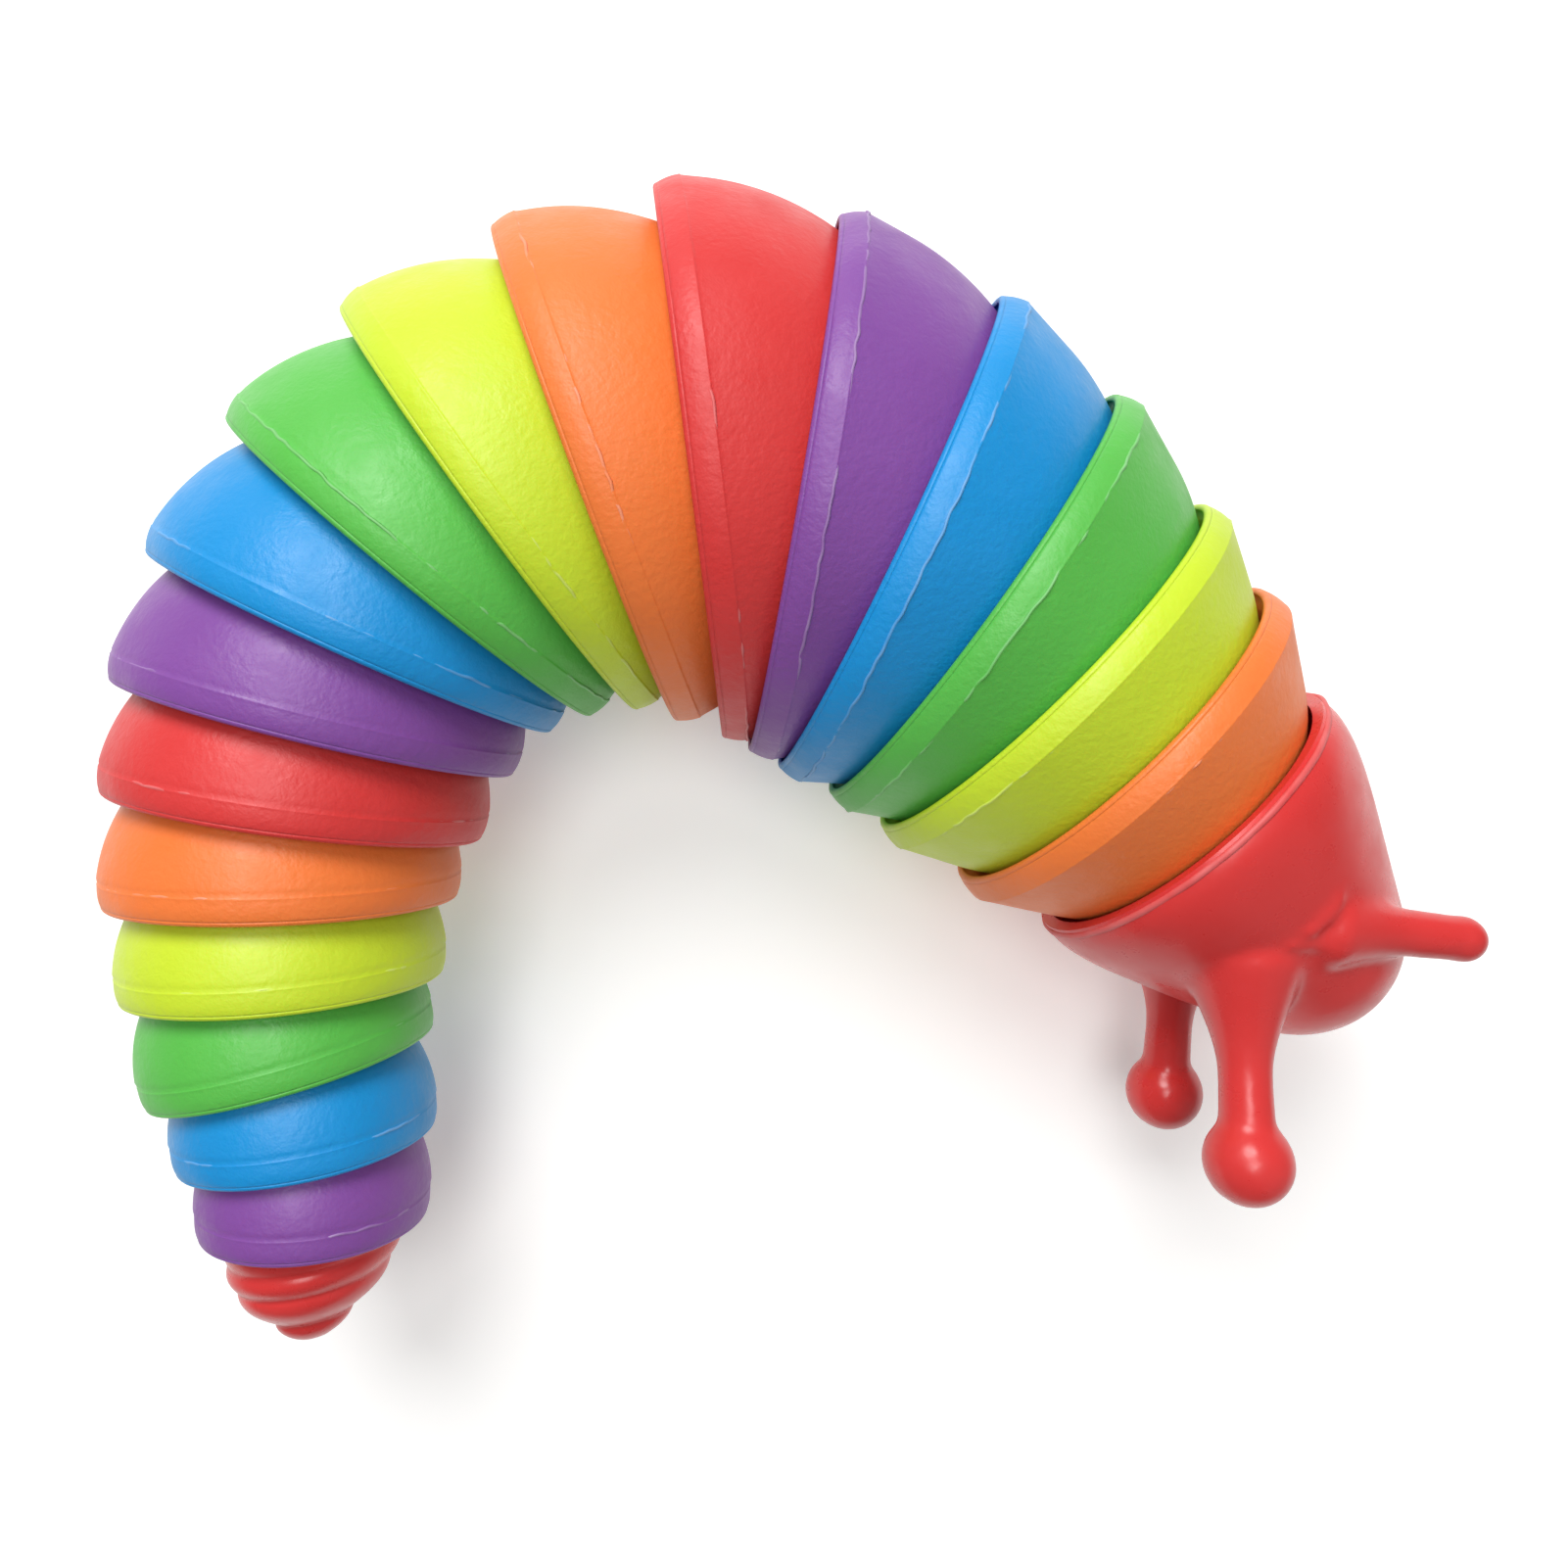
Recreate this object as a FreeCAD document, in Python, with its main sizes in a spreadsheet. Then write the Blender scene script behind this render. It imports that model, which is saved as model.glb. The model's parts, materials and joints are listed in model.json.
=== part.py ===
import FreeCAD, Part
import math
import os
import Sketcher

# Articulated slug: a head, seventeen nested domed rings and a tail cone, hinged in one row.
# Millimetres. Every hinge axis is parallel to Z; the middle plane of the toy is a plane Z = constant.
# Each ring has its own frame: origin on the hinge it swings about, +X towards the head.

COLOURS = ["orange", "yellow", "green", "blue", "purple", "red"]
RINGS = range(1, 18)
CROWN = 6
LAST = 17

doc = FreeCAD.newDocument("slug")
sheet = doc.addObject("Spreadsheet::Sheet", "sizes")
row = 0


def put(alias, content, note=""):
    """One named size in the sheet."""
    global row
    row += 1
    sheet.set("A" + str(row), alias)
    sheet.set("B" + str(row), content)
    sheet.set("C" + str(row), note)
    sheet.setAlias("B" + str(row), alias)


def size(alias):
    """The current value of one named size."""
    return float(sheet.get(alias))


put("crown_radius", "24", "largest ring, at its widest line")
put("neck_radius", "18.15", "first ring behind the head")
put("end_radius", "9.9", "last ring before the tail cone")
put("collar_height", "2.2", "from rim to the widest line")
put("lip", "0.75", "thickness of the rim")
put("shell", "1.3", "wall of the dome")
put("gap", "0.35", "between a rim and the dome it covers")
put("pin_play", "0.2", "each side of a cross pin in its slot")
put("tongue_half", "1.4", "half thickness of a tongue")
put("web", "1", "tongue material round the slot")
put("limit_front", "13", "swing of the first four joints, each way")
put("limit_middle", "17", "swing of the joints of the big rings, each way")
put("limit_rear", "12", "swing of the last five joints, each way")
put("head_rim", "15", "outer radius of the head's rim")
put("head_wide", "15.5", "widest radius of the head")
put("head_mouth", "14", "inner radius of the head's rim")
put("nose_ball", "9.2", "radius of the rounded nose")
put("nose_tip", "23.6", "rim to nose")
put("heading", "-46.3", "which way the head points, degrees from +X")

# How far each joint is bent in the resting curl, degrees.
REST = [2.5, 0.4, 8.9, 9.9, 15.3, 16.5, 12.8, 15.6, 14.1, 15.1, 10.3, 5.6, 8.9, 2.9, 10.4, -6.7, -5.7, -1.5]
for number, angle in enumerate(REST, 1):
    put("bend_%02d" % number, str(angle), "resting bend of joint %d" % number)

# The row of rings. k runs from 1 behind the head to 17; 0 is the head and 18 the tail cone.
put("inner_00", "=head_mouth")
put("rim_00", "=0")
for k in RINGS:
    n = "_%02d" % k
    b = "_%02d" % (k - 1)
    if k <= CROWN:
        put("wide" + n, "=crown_radius - (crown_radius - neck_radius) * pow(%g; 1.5)" % ((CROWN - k) / 5.0))
        put("rim" + n, "=1 + 0.12 * %d" % (CROWN - k), "rim plane, ahead of the hinge")
    else:
        share = (k - CROWN) / 11.0
        put("wide" + n, "=crown_radius - (crown_radius - end_radius) * %g" % share)
        put("rim" + n, "=1 - 3.6 * %g" % share, "rim plane, ahead of the hinge")
    put("edge" + n, "=wide%s - 0.2 - 0.012 * wide%s" % (n, n), "outer radius of the rim")
    put("inner" + n, "=edge%s - lip" % n, "inner radius of the rim")
    put("pitch" + n, "=5.2 + 0.16 * wide" + n if k > 1 else "=9.2", "rim to rim")
    put("cover" + n, "=pitch%s + rim%s" % (n, n), "rim in front to this hinge")
    put("step" + n, "=cover%s - rim%s" % (n, b), "hinge in front to this hinge")
    put("ball" + n, "=min(wide%s; sqrt(pow(inner%s; 2) + pow(cover%s; 2)) - gap)" % (n, b, n), "dome radius")
    put("hollow" + n, "=ball%s - shell" % n, "inside of the dome")
    put("pin" + n, "=0.55 + 0.015 * wide" + n, "cross pin radius")
put("cover_18", "=3.2")
put("step_18", "=cover_18 - rim_17")
put("ball_18", "=8.2")
put("wide_18", "=8.2")
put("pin_18", "=0.7")
# Where the pin of joint k sits, in the frame of the part in front of it.
put("seat_01", "=ball_01 + pin_01 + 0.4 - step_01", "in the head, ahead of its rim")
for k in range(2, 19):
    n = "_%02d" % k
    b = "_%02d" % (k - 1)
    put("seat" + n, "=max(cover%s + pin%s + 0.6; ball%s + pin%s + 0.4 - step%s)" % (b, n, n, n, n))
for k in range(1, 19):
    n = "_%02d" % k
    put("limit" + n, "=limit_front" if k <= 4 else "=limit_middle" if k <= 13 else "=limit_rear")
    put("swing" + n, "=step%s + seat%s" % (n, n), "hinge to pin")
    put("tip" + n, "=swing%s + pin%s + web" % (n, n), "hinge to tongue tip")
    put("slot_half" + n, "=limit%s + 0.6 + asin(pin%s / swing%s) / 1deg" % (n, n, n))
    put("tongue_angle" + n, "=slot_half%s + asin(web / swing%s) / 1deg" % (n, n))
for k in RINGS:
    n = "_%02d" % k
    f = "_%02d" % (k + 1)
    put("plate" + n, "=seat%s + pin%s + web + 0.35" % (f, f), "back face of the plate")
    put("neck" + n, "=min(plate%s + 0.6 + 0.06 * wide%s; 0.972 * hollow%s)" % (n, n, n), "narrow end of the dome")
doc.recompute()


class Profile:
    """A closed sketch drawn corner by corner on one origin plane of a body."""

    def __init__(self, body, name, plane):
        self.sketch = body.newObject("Sketcher::SketchObject", name)
        for feature in body.Origin.OriginFeatures:
            if feature.Role == plane:
                self.sketch.AttachmentSupport = [(feature, "")]
        self.sketch.MapMode = "FlatFace"
        self.first = None
        self.last = None

    def joined(self, index, start, end):
        if self.last is not None:
            self.sketch.addConstraint(Sketcher.Constraint("Coincident", self.last[0], self.last[1], index, start))
        else:
            self.first = (index, start)
        self.last = (index, end)
        return index

    def line(self, a, b):
        """A straight edge from a to b."""
        start = FreeCAD.Vector(a[0], a[1], 0)
        end = FreeCAD.Vector(b[0], b[1], 0)
        return self.joined(self.sketch.addGeometry(Part.LineSegment(start, end)), 1, 2)

    def arc(self, a, middle, b):
        """An arc from a through the middle point to b."""
        points = [FreeCAD.Vector(p[0], p[1], 0) for p in (a, middle, b)]
        curve = Part.Arc(points[0], points[1], points[2])
        index = self.sketch.addGeometry(curve)
        to_start = (self.sketch.getPoint(index, 1) - points[0]).Length
        to_end = (self.sketch.getPoint(index, 2) - points[0]).Length
        forward = to_start < to_end
        return self.joined(index, 1 if forward else 2, 2 if forward else 1)

    def close(self):
        self.sketch.addConstraint(
            Sketcher.Constraint("Coincident", self.last[0], self.last[1], self.first[0], self.first[1]))

    def hold(self, kind, *where):
        """One dimension; the last item is the expression that drives it."""
        items = where[:-1]
        value = abs(self.measure(kind, items))
        index = self.sketch.addConstraint(Sketcher.Constraint(kind, *(items + (value,))))
        self.sketch.setExpression("Constraints[%d]" % index, where[-1])

    def measure(self, kind, items):
        if kind == "Radius":
            return self.sketch.Geometry[items[0]].Radius
        point = self.sketch.getPoint(items[-2], items[-1])
        return point.x if kind == "DistanceX" else point.y

    def centred(self, index):
        """The arc's centre is the sketch origin."""
        self.sketch.addConstraint(Sketcher.Constraint("Coincident", index, 3, -1, 1))

    def on_axis(self, index):
        """The arc's centre and its far end are on the axis it is turned about."""
        self.sketch.addConstraint(Sketcher.Constraint("PointOnObject", index, 3, -1))


def new_body(label):
    body = doc.addObject("PartDesign::Body", label)
    body.Label = label
    return body


def on_ball(radius, x):
    """The point of a ball's outline at one x."""
    return (x, math.sqrt(radius * radius - x * x))


def spin(body, profile, name):
    turned = body.newObject("PartDesign::Revolution", name)
    turned.Profile = profile.sketch
    turned.ReferenceAxis = (profile.sketch, ["H_Axis"])
    turned.Angle = 360
    profile.sketch.Visibility = False
    doc.recompute()
    return turned


def extrude(body, kind, profile, name, length):
    solid = body.newObject("PartDesign::" + kind, name)
    solid.Profile = profile.sketch
    solid.Midplane = True
    if length is None:
        solid.Type = 1
    else:
        solid.setExpression("Length", length)
    profile.sketch.Visibility = False
    doc.recompute()
    return solid


def add_tongue(body, k, base, root):
    """The flat tongue with its arc slot; base is the x it grows from, root its half width there."""
    n = "_%02d" % k
    tip = size("tip" + n)
    half = math.radians(size("tongue_angle" + n))
    # the tip's corners are cut off so that they clear the wall in front
    low = tip - size("web")
    turned = half - size("web") / tip
    side = (low * math.cos(half), low * math.sin(half))
    corner = (tip * math.cos(turned), tip * math.sin(turned))
    blade = Profile(body, "tongue_outline" + n, "XY_Plane")
    blade.line((base, -root), (side[0], -side[1]))
    blade.line((side[0], -side[1]), (corner[0], -corner[1]))
    blade.arc((corner[0], -corner[1]), (tip, 0), corner)
    blade.line(corner, side)
    blade.line(side, (base, root))
    blade.line((base, root), (base, -root))
    blade.close()
    extrude(body, "Pad", blade, "tongue" + n, "2 * sizes.tongue_half")
    inside = size("swing" + n) - size("pin" + n) - size("pin_play")
    outside = size("swing" + n) + size("pin" + n) + size("pin_play")
    turn = math.radians(size("slot_half" + n))
    c = math.cos(turn)
    s = math.sin(turn)
    slot = Profile(body, "slot_outline" + n, "XY_Plane")
    near = slot.arc((inside * c, inside * s), (inside, 0), (inside * c, -inside * s))
    slot.line((inside * c, -inside * s), (outside * c, -outside * s))
    far = slot.arc((outside * c, -outside * s), (outside, 0), (outside * c, outside * s))
    slot.line((outside * c, outside * s), (inside * c, inside * s))
    slot.close()
    slot.centred(near)
    slot.centred(far)
    slot.hold("Radius", near, "sizes.swing%s - sizes.pin%s - sizes.pin_play" % (n, n))
    slot.hold("Radius", far, "sizes.swing%s + sizes.pin%s + sizes.pin_play" % (n, n))
    doc.recompute()
    before = body.Shape.Volume
    extrude(body, "Pocket", slot, "slot" + n, None)
    if body.Shape.Volume > before - 1:
        raise RuntimeError("slot did not cut " + body.Label)


def add_pin_hole(body, k):
    """The round hole, side to side, that carries the cross pin of joint k."""
    n = "_%02d" % k
    hole = Profile(body, "pin_hole_outline" + n, "XY_Plane")
    centre = FreeCAD.Vector(size("seat" + n), 0, 0)
    circle = Part.Circle(centre, FreeCAD.Vector(0, 0, 1), size("pin" + n) + 0.05)
    index = hole.sketch.addGeometry(circle)
    hole.sketch.addConstraint(Sketcher.Constraint("PointOnObject", index, 3, -1))
    hole.hold("Radius", index, "sizes.pin%s + 0.05" % n)
    hole.hold("DistanceX", -1, 1, index, 3, "sizes.seat" + n)
    doc.recompute()
    before = body.Shape.Volume
    extrude(body, "Pocket", hole, "pin_hole" + n, None)
    if body.Shape.Volume > before - 0.5:
        raise RuntimeError("pin hole did not cut " + body.Label)


def make_ring(k):
    """A domed cup: rounded rim, short collar up to the widest line, dome, open narrow end, tongue."""
    n = "_%02d" % k
    body = new_body("ring_%02d_%s" % (k, COLOURS[(k - 1) % 6]))
    rim = size("rim" + n)
    wide = size("wide" + n)
    edge = size("edge" + n)
    inner = size("inner" + n)
    ball = size("ball" + n)
    hollow = size("hollow" + n)
    neck = size("neck" + n)
    plate = size("plate" + n)
    round_rim = size("lip") / 2
    line = rim + size("collar_height")
    # the flank leaves the widest line straight and runs tangent into the dome
    lean = math.atan2(line, wide) + math.acos(ball / math.hypot(line, wide))
    flare = on_ball(ball, ball * math.sin(lean))
    a = (rim + round_rim, inner)
    b = (rim + round_rim, edge)
    c = (line, wide)
    e = on_ball(ball, neck)
    f = on_ball(hollow, neck)
    g = on_ball(hollow, line)
    wall = Profile(body, "dome_outline" + n, "XY_Plane")
    wall.arc(a, (rim, (inner + edge) / 2), b)
    collar = wall.line(b, c)
    wall.line(c, flare)
    outside = wall.arc(flare, on_ball(ball, (flare[0] + neck) / 2), e)
    wall.line(e, f)
    inside = wall.arc(f, on_ball(hollow, (line + neck) / 2), g)
    wall.line(g, a)
    wall.close()
    wall.centred(outside)
    wall.centred(inside)
    wall.hold("Radius", outside, "sizes.ball" + n)
    wall.hold("Radius", inside, "sizes.hollow" + n)
    wall.hold("DistanceY", -1, 1, collar, 2, "sizes.wide" + n)
    spin(body, wall, "dome" + n)
    # the plate across the narrow end, then the tongue that reaches into the part in front
    middle_wall = (ball + hollow) / 2
    bridge = Profile(body, "plate_outline" + n, "XY_Plane")
    low = on_ball(middle_wall, plate)
    high = on_ball(middle_wall, neck)
    back = bridge.line((low[0], -low[1]), low)
    bridge.line(low, high)
    bridge.line(high, (high[0], -high[1]))
    bridge.line((high[0], -high[1]), (low[0], -low[1]))
    bridge.close()
    bridge.hold("DistanceX", -1, 1, back, 1, "sizes.plate" + n)
    extrude(body, "Pad", bridge, "plate" + n, "2 * sizes.tongue_half")
    root = min(neck * math.tan(math.radians(size("tongue_angle" + n))), e[1] - 0.15)
    add_tongue(body, k, neck - 0.4, root)
    add_pin_hole(body, k + 1)
    return body


def make_tail():
    """The tail cone: a small dome under the last rim, then three stepped whorls to a blunt tip."""
    body = new_body("tail_cone")
    ball = size("ball_18")
    front = 7.2
    outline = Profile(body, "cone_outline", "XY_Plane")
    outline.line((-7.0, 0), (front, 0))
    outline.line((front, 0), on_ball(ball, front))
    dome = outline.arc(on_ball(ball, front), on_ball(ball, 5.2), on_ball(ball, 2.6))
    outline.arc(on_ball(ball, 2.6), (1.9, 7.35), (1.3, 7.15))
    outline.arc((1.3, 7.15), (0.2, 7.25), (-0.9, 6.35))
    outline.arc((-0.9, 6.35), (-2.6, 5.95), (-4.1, 4.2))
    outline.arc((-4.1, 4.2), (-4.35, 3.6), (-4.7, 3.3))
    outline.arc((-4.7, 3.3), (-6.1, 2.9), (-6.85, 1.6))
    outline.line((-6.85, 1.6), (-7.0, 0))
    outline.close()
    outline.centred(dome)
    outline.hold("Radius", dome, "sizes.ball_18")
    spin(body, outline, "cone")
    add_tongue(body, 18, front - 0.5, 2.9)
    return body


def make_head():
    """The head: conical shell with a blunt nose, two ball-tipped eye stalks and two feelers."""
    shell = new_body("head_shell")
    rim = size("head_rim")
    wide = size("head_wide")
    nose = size("nose_ball")
    tip = size("nose_tip")
    cheek = (tip - nose + 3.5, math.sqrt(nose * nose - 3.5 * 3.5))
    skin = Profile(shell, "head_outline", "XY_Plane")
    skin.line((0.45, 0), (0.45, rim - 0.45))
    skin.line((0.45, rim - 0.45), (0, rim - 0.45))
    skin.arc((0, rim - 0.45), (0.13, rim - 0.13), (0.45, rim))
    skin.line((0.45, rim), (2.0, wide))
    skin.arc((2.0, wide), (5.2, 14.6), (8.4, 13.2))
    skin.line((8.4, 13.2), cheek)
    skin.on_axis(skin.arc(cheek, (tip - nose + 7.6, math.sqrt(nose * nose - 7.6 * 7.6)), (tip, 0)))
    skin.line((tip, 0), (0.45, 0))
    skin.close()
    spin(shell, skin, "head_solid")

    cavity = new_body("head_cavity")
    inner = size("head_mouth")
    room = Profile(cavity, "cavity_outline", "XY_Plane")
    room.line((-3, 0), (-3, inner))
    room.line((-3, inner), (2.5, inner))
    room.arc((2.5, inner), (7.0, 12.1), (11.0, 8.6))
    room.line((11.0, 8.6), (11.0, 0))
    room.line((11.0, 0), (-3, 0))
    room.close()
    spin(cavity, room, "cavity")

    pieces = [shell]
    # name, base, tip centre, tip radius, thin radius, root radius
    for side, z in (("near", 1), ("far", -1)):
        pieces.append(horn("eye_stalk_" + side, (10.6, -6.0, 6.9 * z), (21.8, -17.2, 9.0 * z), 3.55, 2.15, 4.3))
        pieces.append(horn("feeler_" + side, (13.0, 1.1, 8.4 * z), (21.3, 7.9, 8.0 * z), 1.95, 2.05, 3.8))
    whole = doc.addObject("Part::MultiFuse", "head_whole")
    whole.Shapes = pieces
    socket = doc.addObject("Part::Cylinder", "pin_socket")
    socket.setExpression("Radius", "sizes.pin_01 + 0.05")
    socket.Height = 2 * HEAD_PIN_HALF + 0.2
    socket.Placement.Base = FreeCAD.Vector(size("seat_01"), 0, -HEAD_PIN_HALF - 0.1)
    room_and_socket = doc.addObject("Part::MultiFuse", "head_inside")
    room_and_socket.Shapes = [cavity, socket]
    head = doc.addObject("Part::Cut", "head")
    head.Base = whole
    head.Tool = room_and_socket
    head.Label = "head"
    return head


def horn(label, base, tip, ball, thin, root):
    """A stalk of revolution: flared root, thin stem, ball (or plain rounded) tip."""
    start = FreeCAD.Vector(base[0], base[1], base[2])
    end = FreeCAD.Vector(tip[0], tip[1], tip[2])
    length = (end - start).Length
    body = new_body(label)
    outline = Profile(body, label + "_outline", "XY_Plane")
    join = length - math.sqrt(max(ball * ball - thin * thin * 0.98, 0.01))
    meet = math.sqrt(ball * ball - (length - join) ** 2)
    outline.line((0, 0), (0, root))
    outline.arc((0, root), (length * 0.17, thin + (root - thin) * 0.36), (length * 0.42, thin))
    outline.line((length * 0.42, thin), (join, meet))
    side = (length + ball * math.cos(1.3), ball * math.sin(1.3))
    outline.on_axis(outline.arc((join, meet), side, (length + ball, 0)))
    outline.line((length + ball, 0), (0, 0))
    outline.close()
    spin(body, outline, label + "_turned")
    turn = FreeCAD.Rotation(FreeCAD.Vector(1, 0, 0), end - start)
    body.Placement = FreeCAD.Placement(start, turn)
    return body


def make_pin(k):
    """A plain cross pin along Z, in the frame of the part in front of joint k."""
    pin = doc.addObject("Part::Cylinder", "cross_pin_%02d" % k)
    pin.Label = "cross_pin_%02d" % k
    pin.setExpression("Radius", "sizes.pin_%02d" % k)
    if k == 1:
        half = HEAD_PIN_HALF
    else:
        ball = size("ball_%02d" % (k - 1))
        reach = size("seat_%02d" % k) + size("pin_%02d" % k)
        half = math.sqrt(ball * ball - reach * reach) - 0.1
    pin.Height = 2 * half
    return pin, half


HEAD_PIN_HALF = 12.5

parts = [make_head()]
for k in RINGS:
    parts.append(make_ring(k))
parts.append(make_tail())
pins = [make_pin(k) for k in range(1, 19)]
doc.recompute()

# The resting curl: walk down the row from the head, turning at every hinge.
frames = []
heading = size("heading")
spot = FreeCAD.Vector(0, 0, 0)
frames.append((spot, heading))
for k in range(1, 19):
    forward = FreeCAD.Vector(math.cos(math.radians(heading)), math.sin(math.radians(heading)), 0)
    spot = spot - forward * size("step_%02d" % k)
    heading += size("bend_%02d" % k)
    frames.append((spot, heading))


def place(shift):
    for k, part in enumerate(parts):
        spot, heading = frames[k]
        part.Placement = FreeCAD.Placement(spot + shift, FreeCAD.Rotation(FreeCAD.Vector(0, 0, 1), heading))
    for k, (pin, half) in enumerate(pins, 1):
        spot, heading = frames[k - 1]
        turn = FreeCAD.Rotation(FreeCAD.Vector(0, 0, 1), heading)
        seat = turn.multVec(FreeCAD.Vector(size("seat_%02d" % k), 0, -half))
        pin.Placement = FreeCAD.Placement(spot + seat + shift, turn)
    doc.recompute()


# Centre the toy on the origin in plan and stand it on the plane Z = 0.
place(FreeCAD.Vector(0, 0, 0))
box = FreeCAD.BoundBox()
for part in parts:
    box.add(part.Shape.optimalBoundingBox(False))
centre = FreeCAD.Vector(-(box.XMin + box.XMax) / 2, -(box.YMin + box.YMax) / 2, -box.ZMin)
place(centre)

for item in doc.Objects:
    if "Invalid" in item.State or "Error" in item.State:
        raise RuntimeError("bad object " + item.Label)
os.makedirs("parts", exist_ok=True)
for item in parts + [pin for pin, half in pins]:
    shape = item.Shape
    if shape.isNull() or not shape.isValid() or len(shape.Solids) != 1:
        raise RuntimeError("bad shape " + item.Label + " " + str(len(shape.Solids)))
    shape.exportStep("parts/" + item.Label + ".step")
    print(item.Label, "volume", round(shape.Volume, 1))
print("box", round(box.XLength, 2), round(box.YLength, 2), round(box.ZLength, 2))
for k in range(0, 19):
    spot, heading = frames[k]
    spot = spot + centre
    print("frame", k, round(spot.x, 3), round(spot.y, 3), round(spot.z, 3), round(heading, 2))
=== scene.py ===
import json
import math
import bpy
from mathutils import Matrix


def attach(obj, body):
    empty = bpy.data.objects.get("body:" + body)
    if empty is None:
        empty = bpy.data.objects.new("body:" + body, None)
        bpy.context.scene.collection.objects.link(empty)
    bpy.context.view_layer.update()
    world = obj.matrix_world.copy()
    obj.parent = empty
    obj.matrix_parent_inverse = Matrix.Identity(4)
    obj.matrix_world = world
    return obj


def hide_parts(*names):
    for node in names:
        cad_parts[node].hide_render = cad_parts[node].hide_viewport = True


bl_info = {
    "name": "Articulated rainbow slug",
    "version": (1, 0, 0),
    "blender": (4, 5, 0),
    "location": "3D View > Sidebar > Slug",
    "description": "Builds the looks of an articulated slug toy round its packed CAD model",
    "category": "Object",
}

import bmesh
import bpy
from mathutils import Matrix, Vector, noise

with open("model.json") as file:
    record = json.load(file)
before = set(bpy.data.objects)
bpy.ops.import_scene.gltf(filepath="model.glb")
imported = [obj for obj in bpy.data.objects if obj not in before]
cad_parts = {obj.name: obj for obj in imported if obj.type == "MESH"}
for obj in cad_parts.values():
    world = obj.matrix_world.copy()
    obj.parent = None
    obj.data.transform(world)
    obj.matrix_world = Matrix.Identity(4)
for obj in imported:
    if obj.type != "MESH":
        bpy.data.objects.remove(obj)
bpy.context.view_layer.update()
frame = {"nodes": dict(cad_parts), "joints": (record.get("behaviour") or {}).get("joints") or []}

MM = 0.001
COLOURS = ["orange", "yellow", "green", "blue", "purple", "red"]
CROWN = 6  # the biggest ring
LAST = 17  # the ring in front of the tail cone
TAIL = 18  # the tail cone; the head is 0
# Sizes in millimetres that the hinges share.
HALF_THICK = 1.4  # half the thickness of a tongue and of a cross plate
WEB = 1.0  # plastic left round a tongue's slot
PLAY = 0.2  # between a pin and the long sides of its slot
DOME_CLEAR = 0.4  # between a pin and the dome in front of it
PLATE_CLEAR = 0.6  # between a pin and the narrow end of its own ring
# How much of the flash survives on each ring, from none (0) to nearly all of it (1).
FLASH_LEFT = [0.3, 0.35, 1.0, 0.9, 1.0, 0.9, 0.45, 0.4, 0.75, 0.5, 0.6, 0.4, 0.05, 0.1, 0.25, 0.45, 0.6]


def linear(hex_colour):
    """An sRGB hex colour as linear red, green and blue."""
    out = []
    for i in (0, 2, 4):
        c = int(hex_colour[i : i + 2], 16) / 255
        out.append(c / 12.92 if c <= 0.04045 else ((c + 0.055) / 1.055) ** 2.4)
    return tuple(out)


# ---------------------------------------------------------------- sizes and colours


def length(name, words, default):
    return bpy.props.FloatProperty(name=name, description=words, default=default, min=0, unit="LENGTH")


def colour(name, hex_colour):
    words = "Colour of the " + name + " plastic"
    return bpy.props.FloatVectorProperty(
        name=name.capitalize(), description=words, default=linear(hex_colour), subtype="COLOR", min=0, max=1)


class SlugSizes(bpy.types.PropertyGroup):
    """Sizes of the rings, the same as in the CAD model."""

    crown: length("Crown", "Radius of the biggest ring at its widest line", 0.024)
    neck: length("Neck", "Radius of the first ring behind the head", 0.01815)
    end: length("End", "Radius of the last ring", 0.0099)
    collar: length("Collar", "From a ring's rim to its widest line", 0.0022)
    lip: length("Lip", "Thickness of a rim", 0.00075)
    wall: length("Wall", "Wall of a dome", 0.0013)
    gap: length("Gap", "Between a rim and the dome under it", 0.00035)
    flash: length("Flash", "How far the flash stands up along the parting line", 0.00012)
    grain: length("Grain", "Size of one pebble of the moulded texture", 0.0006)


class SlugColours(bpy.types.PropertyGroup):
    """Colours of the plastics and of the floor."""

    red: colour("red", "DB3837")
    orange: colour("orange", "F67E38")
    yellow: colour("yellow", "CDE52E")
    green: colour("green", "5BBE4B")
    blue: colour("blue", "0892D8")
    purple: colour("purple", "854BA0")
    natural: colour("natural", "D8D6CE")
    floor: colour("floor", "F4F4F2")


# ---------------------------------------------------------------- where every ring is


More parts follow.
